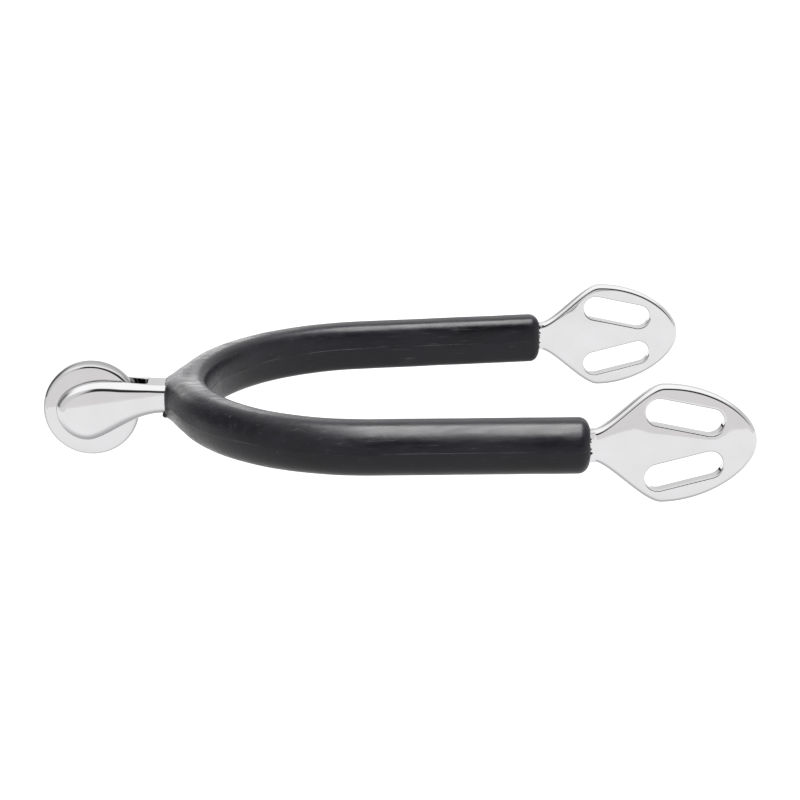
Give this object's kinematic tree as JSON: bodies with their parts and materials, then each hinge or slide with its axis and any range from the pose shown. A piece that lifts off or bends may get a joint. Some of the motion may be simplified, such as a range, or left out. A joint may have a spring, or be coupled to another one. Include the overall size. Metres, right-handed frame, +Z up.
{
  "type": "roller spur",
  "caption": "Heel spur with a rubber-covered U-shaped yoke, slotted steel strap plates on its arms and a smooth roller that turns in a forked neck.",
  "frame": {"origin": "on the floor that the spur stands on, under the middle of its bounding box", "axes": "+X forwards along the arms, from the roller to the strap plates; +Y to the left; +Z up"},
  "size_m": [0.1424, 0.0918, 0.0238],
  "materials": {
    "polished_steel": "mirror-polished stainless steel",
    "steel_bar": "as-drawn stainless steel, hidden",
    "cover_rubber": "satin moulded rubber with a mould line",
    "bush_bronze": "turned bronze, hidden"
  },
  "bodies": {
    "spur_body": {"heel_bar": "steel_bar", "strap_plate_left": "polished_steel", "strap_plate_right": "polished_steel", "fork_neck": "polished_steel", "rubber_cover": "cover_rubber", "axle_pin": "polished_steel", "thrust_washer_left": "steel_bar", "thrust_washer_right": "steel_bar"},
    "roller_set": {"roller": "polished_steel", "roller_bush": "bush_bronze"}
  },
  "joints": [
    {"name": "roller_spin", "type": "hinge", "parent": "spur_body", "child": "roller_set", "pos_m": [-0.0611, 0, 0.01005], "axis": [0, 1, 0], "continuous": true}
  ]
}
